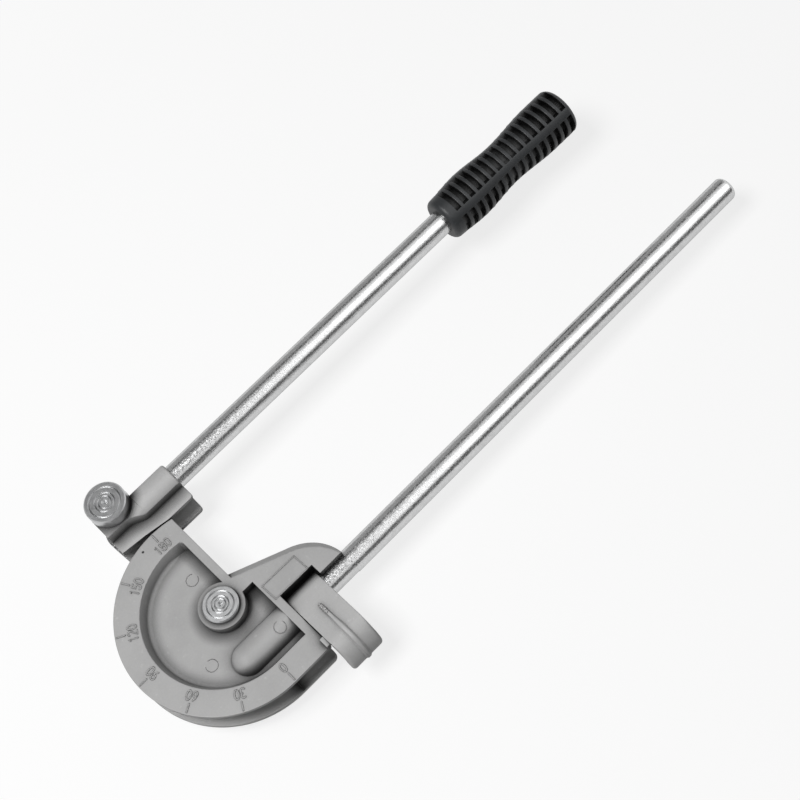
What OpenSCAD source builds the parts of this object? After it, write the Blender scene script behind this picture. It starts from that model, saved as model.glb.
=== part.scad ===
// Lever tube bender: a cast half-round former on a fixed handle rod, a hook that holds the tube,
// and a lever with a forming shoe that swings round the former on a link behind it.
// X runs along the handle rods, Y from the pivot to the lever at the 180 mark, Z up from the
// face that the tool lies on. The origin is on the pivot axis.

/* [Tube and former] */
// Outside diameter of the tube that is bent
tube_d = 15; // [12:0.5:18]
// Radius of the bend, to the centre line of the tube
bend_r = 57; // [52:0.5:66]
// Play round the tube in its grooves, on the radius
groove_play = 0.25; // [0.1:0.05:0.5]
// Wall on each side of the tube groove
lip_t = 2.5; // [2:0.1:4]
// Radial width of the rim that carries the scale
rim_w = 13.8; // [11:0.2:16]
// Thickness of the web between the front and back pockets
web_t = 7; // [5:0.25:9]
// How far the sloped pocket wall runs in at its foot
pocket_slope = 3; // [1:0.25:4]
// Radius of the boss round the centre pin
boss_r = 12.5; // [11:0.25:15]
// Distance from the pivot to the straight end face
end_x = 13.2; // [12:0.2:16]
// Thickness of the wall along the straight end face
end_wall = 4.6; // [3:0.2:6]

/* [Arm] */
// Height above the pivot at which the arm leaves the end face
arm_root_y = 11.5; // [8:0.5:16]
// Distance below the pivot of the arm's edge in the pocket
arm_edge_y = 2.6; // [1:0.2:5]
// Radius of the arm's round nose
arm_r = 27; // [22:0.5:30]
// Distance along the rod to the centre of the nose
arm_x = 34.2; // [32:0.2:40]
// Distance of that centre from the rod's axis, towards the pivot
arm_rise = 1.6; // [0.5:0.1:4]
// Widest part of the bevel along the arm's outer edge
bevel_w = 4; // [1:0.1:6]
// Direction in which the bevel is widest
bevel_turn = 71; // [50:1:85]
// How far the bevel's centre lies behind the centre of the nose
bevel_shift = 5.7; // [4:0.1:9]
// Width of the bevel for each millimetre of its depth
bevel_run = 1.2; // [0.6:0.1:2]
// Rounding of the rear flange beside the hook
flange_round = 3; // [1:0.25:5]
// How far the arm's front stops short of the rod's axis
rod_show = 3; // [1:0.25:5]
// How far the arm's back reaches past the rod's axis
cradle_reach = 2.75; // [2:0.25:6]

/* [Hook] */
// Distance along the rod to the hook's near side
hook_x = 24.3; // [22:0.1:28]
// Width of the hook
hook_w = 20.4; // [14:0.2:24]
// Play at the hook's near side
hook_play = 0.4; // [0.2:0.05:0.8]
// Space past the hook's far side
hook_space = 1.4; // [0.4:0.1:2]
// Gap between the hook's barrel and the wall of its recess
hook_gap = 0.6; // [0.5:0.05:1]
// Wall of the hook's barrel round the rod
hook_wall = 2.1; // [1.6:0.1:3.4]
// Thickness of the hook round the tube
hook_t = 5.2; // [4:0.1:8]
// Angle at which the hook's curl ends, from the former's side over the top
hook_wrap = 200; // [170:1:205]
// Height of the rib along the hook's back
hook_rib_h = 0.7; // [0.3:0.1:0.9]
// Width of the rib along the hook's back
hook_rib_w = 1.6; // [0.8:0.1:3]
// How far the rib runs on past the end of the curl, as an angle
hook_rib_over = 10; // [2:0.5:10]
// Reach of the stop tab over the former's rim
tab_reach = 2.4; // [1:0.1:4]
// Length of the stop tab along the hook
tab_l = 5.5; // [3:0.25:8]
// Height of the stop tab
tab_h = 2.4; // [1.5:0.1:3]
// Thickness of the wall between the pocket and the hook's recess
recess_wall = 4.6; // [3:0.2:7]

/* [Rods and grip] */
// Diameter of both handle rods
rod_d = 14; // [12:0.25:16]
// Step from the rod down to the part that sits in the former
spigot_step = 0.3; // [0.1:0.05:0.8]
// Distance of the fixed rod from the pivot
fixed_rod_y = 28.3; // [26:0.1:32]
// Wall of the cast socket round the fixed rod
socket_wall = 3.2; // [2:0.1:4]
// Reach of the fixed rod into the former, past the pivot
socket_reach = 12; // [6:0.5:18]
// Length of the fixed rod outside the former
fixed_rod_out = 288; // [150:1:400]
// Rounding of the fixed rod's bare end
rod_end_r = 3; // [1:0.25:5]
// Length of the lever rod between the block and the grip
lever_rod_out = 201.5; // [100:0.5:300]
// Length of the grip
grip_l = 95.3; // [88:0.1:130]
// Closed end of the grip past the rod
grip_floor = 5; // [3:0.5:10]
// Rubber left round the rod under the slots
grip_core = 3.2; // [2:0.1:4]
// Radius of the grip's collar
collar_r = 12.8; // [11.5:0.1:14]
// Radius of the grip's belly
belly_r = 14.3; // [13:0.1:17]
// Radius of the grip's waist
waist_r = 12.5; // [11.5:0.1:15]
// Radius of the grip's far end
flare_r = 14.4; // [13:0.1:18]
// Distance from the collar to the belly
belly_at = 22; // [15:0.5:28]
// Distance from the collar to the waist
waist_at = 48; // [40:0.5:56]
// Distance from the collar to the full flare
flare_at = 78; // [66:0.5:79]
// Number of slots along the grip
slot_n = 16; // [8:1:18]
// Width of a slot
slot_w = 3.2; // [1.5:0.1:3.6]
// Plain length at the grip's collar
collar_l = 5.8; // [4:0.1:10]
// Plain length at the grip's far end
tail_l = 2; // [1.5:0.1:8]
// Width of the rails between the rows of slots
rail_w = 4.6; // [2:0.1:7]
// Rounding of the grip's collar
collar_round = 3; // [1:0.25:4]
// Rounding of the grip's far end
grip_end_r = 4; // [1:0.25:6]

/* [Lever block] */
// Sideways distance from the pivot to the lever pin
pin_side = 5.4; // [3:0.2:8]
// Distance of the lever pin outside the tube's centre line
pin_out = 24.3; // [23:0.1:30]
// Distance of the lever rod outside the tube's centre line
lever_rod_y = 15.3; // [14:0.1:18]
// Distance from the pivot to the block's rod end
block_x = 29.5; // [24:0.5:45]
// Wall of the barrel round the lever rod
barrel_wall = 2.3; // [1.6:0.1:3.6]
// Rounding of the barrel's rod end
barrel_round = 1.4; // [0.6:0.1:2]
// Height of the flat round the lever pin above the former's face
flat_h = 8; // [5:0.25:10]
// Distance from the tube's centre line to the barrel's upright side
step_w = 8; // [7:0.25:9]
// How much further out the upright side lies beside the lever pin
step_bend = 4; // [1:0.25:5]
// Radius of the lug round the lever pin
lug_r = 11.6; // [10.5:0.1:13]
// How far the shoe's lips reach past the tube's centre line
lip_reach = 0.4; // [0:0.1:0.6]
// Rounding of the shoe's lip at the rod end
lip_round = 2; // [1:0.25:2.5]
// Lift of the relieved lip beside the lever pin
relief_mid = 2.2; // [1.8:0.1:3]
// Lift of the relieved lip at its end
relief_end = 3.8; // [3.4:0.1:5]

/* [Pivots] */
// Diameter of both pivot pins
pin_d = 12; // [10:0.25:13]
// Wall of the bushes
bush_wall = 2; // [1.5:0.1:2.5]
// Running play of the pins and the hook, on the radius
run_play = 0.05; // [0.02:0.01:0.08]
// Play between faces that turn on each other
face_play = 0.1; // [0.05:0.05:0.2]
// Diameter of the centre pin's head
pivot_head_d = 19.4; // [17:0.2:24]
// Height of the centre pin's head
pivot_head_h = 2.6; // [1.5:0.1:5]
// Diameter of the lever pin's head
lever_head_d = 23; // [18:0.2:26]
// Height of the lever pin's head
lever_head_h = 8; // [4:0.25:10]
// Thickness of the link
link_t = 7; // [5:0.25:10]
// Width of the link
link_w = 26; // [22:0.5:32]
// Outside diameter of the washers
washer_d = 24; // [20:0.5:26]
// Thickness of the washers behind the link
washer_t = 1.6; // [1:0.1:2.5]
// Thickness of the washers between the link and the castings
thrust_t = 1; // [0.5:0.1:2]
// Thickness of the retaining rings
clip_t = 1.2; // [0.8:0.1:2]
// Radial width of the retaining rings
clip_w = 2.4; // [1.5:0.1:3]
// Depth of the ring grooves
clip_groove = 0.4; // [0.2:0.05:0.8]
// Length of pin below the retaining ring
pin_tip = 1.2; // [0.8:0.1:3]
// Diameter of the spring pins through the rods
spring_pin_d = 4; // [3:0.25:5]
// Length of the spring pins
spring_pin_l = 12; // [8:0.5:14]

/* [Hidden] */
$fn = 96;
far = 200;
over = 1;

// Heights, from the resting face up
z_clip = pin_tip;
z_washer = z_clip + clip_t;
z_link = z_washer + washer_t;
z_thrust = z_link + link_t;
z_back = z_thrust + thrust_t + face_play;
former_t = tube_d + 2 * lip_t;
z_mid = z_back + former_t / 2;
z_front = z_back + former_t;
z_flat = z_front + flat_h;

// Former
groove_r = tube_d / 2 + groove_play;
rim_in = bend_r - rim_w;
pocket_h = (former_t - web_t) / 2;
z_web = z_front - pocket_h;
recess_x0 = hook_x - hook_play;
recess_x1 = hook_x + hook_w + hook_space;
pocket_x = recess_x0 - recess_wall;
end_angle = acos(end_x / bend_r);

// Fixed rod, its socket and the hook that turns on it
spigot_r = rod_d / 2 - spigot_step;
socket_r = spigot_r + socket_wall;
hook_r = spigot_r + run_play + hook_wall;
curl_in = groove_r + lip_reach;
curl_out = curl_in + hook_t;
recess_y = hook_r + hook_gap - fixed_rod_y;
cover_y = rod_show - fixed_rod_y;
hook_rise = asin((curl_out - hook_r) / (bend_r - fixed_rod_y));

// Arm: a straight edge from the end face that runs into the round nose
nose = [arm_x, arm_rise - fixed_rod_y];
root = [end_x, arm_root_y];
nose_turn = atan2(root.y - nose.y, root.x - nose.x) - acos(arm_r / norm(root - nose));
nose_start = nose + arm_r * [cos(nose_turn), sin(nose_turn)];
edge_l = norm(nose_start - root);
bevel_at = nose - bevel_shift * [cos(bevel_turn), sin(bevel_turn)];
bevel_r = arm_r + bevel_shift - bevel_w;
arm_end = nose.x + sqrt(pow(arm_r, 2) - pow(cover_y - nose.y, 2));

// Lever block and its rod
pin_r = pin_d / 2;
bush_r = pin_r + run_play + bush_wall;
lever_pin_at = [-pin_side, bend_r + pin_out];
barrel_y = bend_r + lever_rod_y;
barrel_r = rod_d / 2 + barrel_wall;
step_y = bend_r + step_w;
lip_y = bend_r - lip_reach;
block_x0 = -pin_side - lug_r;
rod_x0 = bush_r + barrel_wall - pin_side;
step_x = rod_x0 + over;
rod_mouth = 0.6;
seam = 0.1;
barrel_edge = min(barrel_round, barrel_wall - rod_mouth - seam);
grip_x = block_x + lever_rod_out;

// Turned grooves, edge and centre mark of the pin heads, and turn of the ring ears from their gap
ring_shares = [0.3, 0.46, 0.74];
ring_cut = 0.5;
head_edge = 0.6;
dimple_share = 0.15;
ear_turn = 16;

// Grip
slot_pitch = (grip_l - collar_l - tail_l) / slot_n;
core_r = rod_d / 2 + grip_core;

cast_grey = [0.66, 0.66, 0.65];
bright_steel = [0.80, 0.80, 0.79];
turned_steel = [0.66, 0.69, 0.71];
link_grey = [0.55, 0.56, 0.57];
dark_steel = [0.30, 0.31, 0.33];
bronze = [0.66, 0.50, 0.29];
black_rubber = [0.07, 0.07, 0.07];

function ease(a, b, share) = a + (b - a) * (1 - cos(180 * share)) / 2;

// Radius of the grip's skin at a distance from its collar
function skin_r(x) =
  x < belly_at ? ease(collar_r, belly_r, x / belly_at)
  : x < waist_at ? ease(belly_r, waist_r, (x - belly_at) / (waist_at - belly_at))
  : x < flare_at ? ease(waist_r, flare_r, (x - waist_at) / (flare_at - waist_at))
  : flare_r;

// Extrudes a shape drawn in Y and Z along X
module along_x(x0, x1) {
  translate([x0, 0, 0]) rotate([90, 0, 90]) linear_extrude(x1 - x0) children();
}

module rod_x(x0, x1, y, z, r) {
  translate([x0, y, z]) rotate([0, 90, 0]) cylinder(h = x1 - x0, r = r);
}

module ring(z, h, r_out, r_in) {
  translate([0, 0, z]) linear_extrude(h) difference() {
    circle(r_out);
    circle(r_in);
  }
}

module at_lever_pin() {
  translate([lever_pin_at.x, lever_pin_at.y, 0]) children();
}

// Outline of the arm: a straight edge from the end face, the round nose and the hook's recess
module arm_outline() {
  intersection() {
    translate(nose) rotate(nose_turn) {
      translate([-3 * arm_r, 0]) square([4 * arm_r, 2 * edge_l]);
      intersection() {
        circle(arm_r);
        translate([-arm_r, -arm_r]) square([2 * arm_r, arm_r]);
      }
    }
    polygon([
      [end_x - over, -arm_edge_y], [recess_x0 - over, -arm_edge_y], [recess_x0 - over, recess_y],
      [recess_x1, recess_y], [recess_x1, cover_y], [far, cover_y], [far, far], [end_x - over, far]
    ]);
  }
}

// Outline of the former: the round rim up to the end face, its straight run and the arm
module former_outline() {
  intersection() {
    circle(bend_r);
    translate([-far, -far]) square([far + end_x, 2 * far]);
  }
  translate([0, -bend_r]) square([recess_x0, bend_r]);
  arm_outline();
}

// Space above the web: a sloped wall under the rim and upright walls at the end face, arm and recess
module pocket() {
  foot = rim_in - pocket_slope;
  mouth = rim_in + pocket_slope * over / pocket_h;
  intersection() {
    translate([0, 0, z_web]) cylinder(h = pocket_h + over, r1 = foot, r2 = mouth);
    translate([0, 0, z_web]) linear_extrude(pocket_h + over) polygon([
      [end_x - end_wall, far], [end_x - end_wall, -arm_edge_y], [0, -arm_edge_y],
      [0, -far], [-far, -far], [-far, far]
    ]);
  }
  along_x(0, pocket_x) polygon([
    [-arm_edge_y, z_web], [-foot, z_web], [-mouth, z_front + over], [-arm_edge_y, z_front + over]
  ]);
}

// What the bevel takes off the arm's outer edge: round at the nose, straight along the edge
module bevel_cut() {
  depth = bevel_w / bevel_run + over;
  corner = [
    [bevel_r - over * bevel_run, z_front + over], [bevel_r + depth * bevel_run, z_front - depth],
    [bevel_r + depth * bevel_run, z_front + over]
  ];
  translate([bevel_at.x, bevel_at.y, 0]) rotate([0, 0, nose_turn]) mirror([0, 1, 0])
    rotate_extrude(angle = nose_turn) polygon(corner);
  intersection() {
    translate([bevel_at.x, bevel_at.y, 0]) rotate([0, 0, nose_turn]) translate([0, 2 * edge_l, 0])
      rotate([90, 0, 0]) linear_extrude(2 * edge_l) polygon(corner);
    translate([end_x, -far, 0]) cube(2 * far);
  }
}

// What rounds the rear flange beside the hook
module flange_cut() {
  translate([recess_x0 - flange_round, flange_round - bend_r, z_back - over])
    linear_extrude(former_t / 2 + over) difference() {
      translate([0, -flange_round - over]) square(flange_round + over);
      circle(flange_round);
    }
}

// Half shell under the fixed rod at the arm's nose
module cradle() {
  translate([recess_x1, -fixed_rod_y - cradle_reach, z_back])
    cube([arm_end - over - recess_x1, cradle_reach + rod_show + over, former_t / 2]);
}

// Round-ended socket for the fixed rod, flush with both faces at most
module socket() {
  intersection() {
    union() {
      rod_x(spigot_step - socket_reach + socket_wall, recess_x0, -fixed_rod_y, z_mid, socket_r);
      translate([spigot_step - socket_reach + socket_wall, -fixed_rod_y, z_mid]) sphere(socket_r);
    }
    translate([-far, -far, z_back]) cube([far + recess_x0, 2 * far, former_t]);
  }
}

// Tube groove round the rim and straight on past the 0 mark
module former_groove() {
  translate([0, 0, z_mid]) rotate([0, 0, end_angle - over]) rotate_extrude(angle = 270 - end_angle + over)
    translate([bend_r, 0]) circle(groove_r);
  rod_x(0, recess_x0 + over, -bend_r, z_mid, groove_r);
}

module former() {
  color(cast_grey) difference() {
    union() {
      difference() {
        translate([0, 0, z_back]) linear_extrude(former_t) former_outline();
        pocket();
        translate([0, 0, 2 * z_mid]) mirror([0, 0, 1]) pocket();
      }
      translate([0, 0, z_back]) cylinder(h = former_t, r = boss_r);
      socket();
      cradle();
    }
    bevel_cut();
    flange_cut();
    former_groove();
    translate([0, 0, z_back - over]) cylinder(h = former_t + 2 * over, r = bush_r);
    rod_x(-socket_reach, arm_end + over, -fixed_rod_y, z_mid, spigot_r);
    spring_pin_hole(0, -fixed_rod_y, z_mid);
  }
}

module fixed_rod() {
  shoulder = arm_end + hook_play;
  plain = fixed_rod_out - rod_end_r;
  color(bright_steel) difference() {
    union() {
      rod_x(-socket_reach, shoulder + over, -fixed_rod_y, z_mid, spigot_r);
      translate([shoulder + plain, -fixed_rod_y, z_mid]) rotate([0, 90, 0]) rotate_extrude() {
        translate([0, -plain]) square([rod_d / 2, plain]);
        square([rod_d / 2 - rod_end_r, rod_end_r]);
        intersection() {
          translate([rod_d / 2 - rod_end_r, 0]) circle(rod_end_r);
          square([rod_d, rod_d]);
        }
      }
    }
    spring_pin_hole(0, -fixed_rod_y, z_mid);
  }
}

// Hole for a spring pin, from the back into the rod whose axis is at height z
module spring_pin_hole(x, y, z) {
  translate([x, y, spring_pin_z(z)]) cylinder(h = spring_pin_l, r = spring_pin_d / 2, $fn = 48);
  translate([x, y, z_back - over]) cylinder(h = z - z_back, r = spring_pin_d / 2, $fn = 48);
}

function spring_pin_z(z) = z + rod_d / 4 - spring_pin_l;

// Rolled pin with the slot along its side
module spring_pin(x, y, z) {
  wall = spring_pin_d / 5;
  color(dark_steel) translate([x, y, spring_pin_z(z)]) linear_extrude(spring_pin_l) difference() {
    circle(spring_pin_d / 2, $fn = 48);
    circle(spring_pin_d / 2 - wall, $fn = 48);
    translate([0, -wall / 2]) square([spring_pin_d, wall]);
  }
}

module fixed_rod_pin() {
  spring_pin(0, -fixed_rod_y, z_mid);
}

module lever_rod_pin() {
  spring_pin((rod_x0 + block_x) / 2, barrel_y, z_front);
}

module bush(z0, z1) {
  color(bronze) ring(z0, z1 - z0, bush_r, pin_r + run_play);
}

module pivot_bush() {
  bush(z_back, z_front);
}

module lever_bush() {
  at_lever_pin() bush(z_back, z_flat);
}

// Hook seen along the rod: barrel, straight back and curl, grown by extra and curled to an angle
module hook_shape(extra, wrap) {
  back = [sin(hook_rise), cos(hook_rise)];
  barrel = [-fixed_rod_y, z_mid];
  tube = [-bend_r, z_mid];
  translate(barrel) circle(hook_r + extra);
  polygon([barrel, barrel + (hook_r + extra) * back, tube + (curl_out + extra) * back, tube]);
  intersection() {
    translate(tube) circle(curl_out + extra);
    translate(tube) polygon([
      [0, 0], 2 * bend_r * back, [-2 * bend_r, 2 * bend_r],
      2 * bend_r * [cos(wrap), sin(wrap)]
    ]);
  }
}

module hook() {
  middle = hook_x + hook_w / 2;
  rib_y = -fixed_rod_y - former_t / 2 - hook_gap;
  color(cast_grey) difference() {
    union() {
      along_x(hook_x, hook_x + hook_w) hook_shape(0, hook_wrap);
      along_x(middle - hook_rib_w / 2, middle + hook_rib_w / 2) intersection() {
        hook_shape(hook_rib_h, hook_wrap + hook_rib_over);
        translate([-far, 0]) square([far + rib_y, far]);
      }
      translate([hook_x - tab_reach, -bend_r, z_front + face_play]) cube([tab_reach + over, tab_l, tab_h]);
    }
    rod_x(hook_x - over, hook_x + hook_w + over, -fixed_rod_y, z_mid, spigot_r + run_play);
    rod_x(hook_x - over, hook_x + hook_w + over, -bend_r, z_mid, curl_in);
  }
}

module link() {
  turn = atan2(lever_pin_at.y, lever_pin_at.x);
  color(link_grey) translate([0, 0, z_link]) linear_extrude(link_t) difference() {
    union() {
      circle(link_w / 2);
      translate(lever_pin_at) circle(link_w / 2);
      rotate(turn) translate([0, -link_w / 2]) square([norm(lever_pin_at), link_w]);
    }
    circle(pin_r);
    translate(lever_pin_at) circle(pin_r);
  }
}

// Headed pin, turned about its axis: shank, ring groove near its tip and grooves in its head
module headed_pin(seat, head_d, head_h) {
  top = seat + head_h;
  edge = min(head_h / 4, head_edge);
  r = head_d / 2;
  dimple_r = r * dimple_share;
  color(turned_steel) rotate_extrude() difference() {
    polygon([
      [0, 0], [pin_r - edge, 0], [pin_r, edge],
      [pin_r, seat], [r, seat], [r, top - edge], [r - edge, top], [0, top]
    ]);
    translate([pin_r - clip_groove, z_clip]) square([pin_r, clip_t]);
    for (share = ring_shares) translate([r * share, top]) polygon([
      [-ring_cut, over], [-ring_cut, 0], [0, -ring_cut], [ring_cut, 0], [ring_cut, over]
    ]);
    polygon([[0, top - dimple_r], [dimple_r, top], [dimple_r, top + over], [0, top + over]]);
  }
}

module pivot_pin() {
  headed_pin(z_front + face_play, pivot_head_d, pivot_head_h);
}

module lever_pin() {
  at_lever_pin() headed_pin(z_flat + face_play, lever_head_d, lever_head_h);
}

module thrust_washer() {
  color(bright_steel) ring(z_thrust, thrust_t, washer_d / 2, pin_r + run_play);
}

module rear_washer() {
  color(bright_steel) ring(z_washer, washer_t, washer_d / 2, pin_r + run_play);
}

// Retaining ring with its gap and two drilled ears
module circlip() {
  r_in = pin_r - clip_groove;
  r_out = r_in + clip_w;
  color(dark_steel) translate([0, 0, z_clip]) linear_extrude(clip_t) difference() {
    union() {
      circle(r_out);
      for (side = [-1, 1]) rotate(side * ear_turn) translate([-r_out, 0]) circle(clip_w * 0.6, $fn = 32);
    }
    circle(r_in);
    translate([-2 * r_out, -clip_w / 4]) square([2 * r_out, clip_w / 2]);
    for (side = [-1, 1]) rotate(side * ear_turn) translate([-r_out, 0]) circle(clip_w / 4, $fn = 24);
  }
}

module pivot_thrust_washer() {
  thrust_washer();
}

module lever_thrust_washer() {
  at_lever_pin() thrust_washer();
}

module pivot_rear_washer() {
  rear_washer();
}

module lever_rear_washer() {
  at_lever_pin() rear_washer();
}

module pivot_circlip() {
  circlip();
}

module lever_circlip() {
  at_lever_pin() circlip();
}

// Outline of the shoe and lug, with the lip relieved so that the lever can swing open
module block_outline() {
  barrel_top = barrel_y + barrel_r;
  polygon([
    [block_x - lip_round, lip_y], [block_x, lip_y + lip_round], [block_x, barrel_top - barrel_edge],
    [block_x - barrel_edge, barrel_top], [lever_pin_at.x, barrel_top], [block_x0, lever_pin_at.y],
    [block_x0, bend_r + relief_end], [lever_pin_at.x / 2, bend_r + relief_mid], [end_x - over, lip_y]
  ]);
  translate([block_x - lip_round, lip_y + lip_round]) circle(lip_round);
  translate([block_x - barrel_edge, barrel_top - barrel_edge]) circle(barrel_edge);
  translate(lever_pin_at) circle(lug_r);
}

// Outline of the flat round the lever pin
module flat_outline() {
  polygon([
    lever_pin_at, [block_x0, lever_pin_at.y], [block_x0, step_y + step_bend],
    [lever_pin_at.x, step_y + step_bend]
  ]);
  translate(lever_pin_at) circle(lug_r);
}

// Upper half of a barrel along the lever rod, cut upright on the former's side
module half_barrel() {
  intersection() {
    children();
    translate([-far, step_y, z_front]) cube([2 * far, far, far]);
  }
}

// Barrel from the step beside the lever pin to its rounded rod end
module barrel() {
  l = block_x - step_x;
  half_barrel() translate([step_x, barrel_y, z_front]) rotate([0, 90, 0]) rotate_extrude() {
    square([barrel_r, l - barrel_edge]);
    square([barrel_r - barrel_edge, l]);
    intersection() {
      translate([barrel_r - barrel_edge, l - barrel_edge]) circle(barrel_edge);
      translate([barrel_r - barrel_edge, l - barrel_edge]) square(barrel_edge);
    }
  }
}

// Run of the barrel into the flat: its upright side bends out in an S beside the lever pin
module barrel_root() {
  steps = 12;
  intersection() {
    hull() {
      half_barrel($fn = 32) rod_x(step_x, step_x + over, barrel_y, z_front, barrel_r - seam);
      translate([lever_pin_at.x, step_y, z_front]) cube([over, barrel_y - step_y, flat_h]);
    }
    translate([0, 0, z_front]) linear_extrude(far) polygon(concat(
      [for (i = [0:steps]) [
        lever_pin_at.x + (step_x - lever_pin_at.x) * i / steps,
        ease(step_y + step_bend, step_y, i / steps)
      ]],
      [[step_x + over, step_y], [step_x + over, far], [lever_pin_at.x, far]]
    ));
  }
}

module lever_block() {
  color(cast_grey) difference() {
    union() {
      translate([0, 0, z_back]) linear_extrude(former_t) block_outline();
      translate([0, 0, z_front]) linear_extrude(flat_h) flat_outline();
      difference() {
        union() {
          barrel_root();
          barrel();
        }
        at_lever_pin() translate([0, 0, z_flat]) cylinder(h = far, r = lever_head_d / 2 + over);
      }
    }
    rod_x(block_x0 - over, block_x + over, bend_r, z_mid, groove_r);
    at_lever_pin() translate([0, 0, z_back - over]) cylinder(h = z_flat - z_back + 2 * over, r = bush_r);
    rod_x(rod_x0, block_x + over, barrel_y, z_front, rod_d / 2);
    translate([block_x - rod_mouth, barrel_y, z_front]) rotate([0, 90, 0])
      cylinder(h = 2 * rod_mouth, r1 = rod_d / 2, r2 = rod_d / 2 + 2 * rod_mouth);
    spring_pin_hole((rod_x0 + block_x) / 2, barrel_y, z_front);
  }
}

module lever_rod() {
  color(bright_steel) difference() {
    rod_x(rod_x0, grip_x + grip_l - grip_floor, barrel_y, z_front, rod_d / 2);
    spring_pin_hole((rod_x0 + block_x) / 2, barrel_y, z_front);
  }
}

// Grip drawn along Z: slotted skin over a core, with rails between the rows of slots
module grip_envelope() {
  step = 2;
  turn = 15;
  body = grip_l - grip_end_r;
  rotate_extrude() {
    polygon(concat(
      [[0, 0]],
      [for (a = [0:turn:90]) [
        collar_r - collar_round * (1 - sin(a)), collar_round * (1 - cos(a))
      ]],
      [for (x = [collar_round + step:step:body - step]) [skin_r(x), x]],
      [[flare_r, body], [0, body]]
    ));
    intersection() {
      union() {
        translate([flare_r - grip_end_r, body]) circle(grip_end_r);
        translate([0, body]) square([flare_r - grip_end_r, grip_end_r]);
      }
      translate([0, body]) square([far, far]);
    }
  }
}

module grip_slots() {
  difference() {
    for (i = [0:slot_n - 1])
      ring(collar_l + (i + 0.5) * slot_pitch - slot_w / 2, slot_w, far, core_r);
    for (turn = [45, 135]) rotate([0, 0, turn]) translate([-2 * far, -rail_w / 2, 0])
      cube([4 * far, rail_w, grip_l]);
  }
}

module grip() {
  color(black_rubber) translate([grip_x, barrel_y, z_front]) rotate([0, 90, 0]) difference() {
    grip_envelope();
    grip_slots();
    translate([0, 0, -over]) cylinder(h = grip_l - grip_floor + over, r = rod_d / 2);
  }
}

former();
fixed_rod();
fixed_rod_pin();
pivot_bush();
hook();
link();
pivot_pin();
pivot_thrust_washer();
pivot_rear_washer();
pivot_circlip();
lever_pin();
lever_thrust_washer();
lever_rear_washer();
lever_circlip();
lever_block();
lever_bush();
lever_rod();
lever_rod_pin();
grip();
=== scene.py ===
import math

import bmesh
import bpy
from mathutils import Matrix, Vector


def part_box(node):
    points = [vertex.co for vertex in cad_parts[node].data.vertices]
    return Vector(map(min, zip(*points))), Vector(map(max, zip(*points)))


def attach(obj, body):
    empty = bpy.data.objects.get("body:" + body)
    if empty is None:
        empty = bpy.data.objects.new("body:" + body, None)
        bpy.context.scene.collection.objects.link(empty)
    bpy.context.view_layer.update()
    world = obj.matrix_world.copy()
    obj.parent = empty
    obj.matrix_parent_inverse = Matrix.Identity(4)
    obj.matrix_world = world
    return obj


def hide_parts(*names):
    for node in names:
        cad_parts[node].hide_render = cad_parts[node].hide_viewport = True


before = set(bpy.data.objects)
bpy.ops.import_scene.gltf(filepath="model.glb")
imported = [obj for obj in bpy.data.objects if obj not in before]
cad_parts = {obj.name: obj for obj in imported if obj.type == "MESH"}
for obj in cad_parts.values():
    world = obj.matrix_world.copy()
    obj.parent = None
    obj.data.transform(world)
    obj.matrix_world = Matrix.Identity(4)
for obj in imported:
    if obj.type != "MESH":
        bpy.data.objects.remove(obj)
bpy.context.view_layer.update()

# Places from the frame, in metres; the part's other sizes are in millimetres and the stage's in metres
MM = 0.001
ROD_R = 7
PLATE_LOW, PLATE_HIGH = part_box("former")
GRIP_LOW, GRIP_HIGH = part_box("grip")
FACE = PLATE_HIGH.z
MIDDLE = (PLATE_LOW.z + PLATE_HIGH.z) / 2
ROD_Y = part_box("fixed_rod")[0].y + ROD_R * MM
GRIP_Y = (GRIP_LOW.y + GRIP_HIGH.y) / 2
GRIP_Z = (GRIP_LOW.z + GRIP_HIGH.z) / 2


def pin_centre(node):
    low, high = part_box(node)
    return (low.x + high.x) / 2, (low.y + high.y) / 2


# Node trees
class Value:
    """One output of a node tree, which takes part in sums."""

    def __init__(self, tree, socket):
        self.tree, self.socket = tree, socket

    def _sum(self, operation, first, second):
        return self.tree.add("ShaderNodeMath", {"operation": operation}, {0: first, 1: second})

    def __add__(self, other):
        return self._sum("ADD", self, other)

    def __radd__(self, other):
        return self._sum("ADD", other, self)

    def __sub__(self, other):
        return self._sum("SUBTRACT", self, other)

    def __rsub__(self, other):
        return self._sum("SUBTRACT", other, self)

    def __mul__(self, other):
        return self._sum("MULTIPLY", self, other)

    def __rmul__(self, other):
        return self._sum("MULTIPLY", other, self)

    def __truediv__(self, other):
        return self._sum("DIVIDE", self, other)

    def __pow__(self, other):
        return self._sum("POWER", self, other)

    def above(self, other):
        return self._sum("GREATER_THAN", self, other)

    def larger(self, other):
        return self._sum("MAXIMUM", self, other)

    def wave(self):
        return self._sum("SINE", self, 0)

    def held(self):
        """The value kept between 0 and 1."""
        return self.tree.add("ShaderNodeClamp", {}, {"Value": self})


class Tree:
    """A node tree whose nodes are all made by one method."""

    def __init__(self, tree):
        self.tree = tree

    def add(self, kind, settings=None, sockets=None, out=0):
        node = self.tree.nodes.new(kind)
        for key, value in (settings or {}).items():
            setattr(node, key, value)
        for key, value in (sockets or {}).items():
            if isinstance(value, Value):
                self.tree.links.new(value.socket, node.inputs[key])
            else:
                node.inputs[key].default_value = value
        return Value(self, node.outputs[out]) if len(node.outputs) else node


# Sockets of a Mix node in its colour mode, by number because its modes share their names
MIX_SHARE, MIX_FIRST, MIX_SECOND, MIX_RESULT = 0, 6, 7, 2


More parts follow.
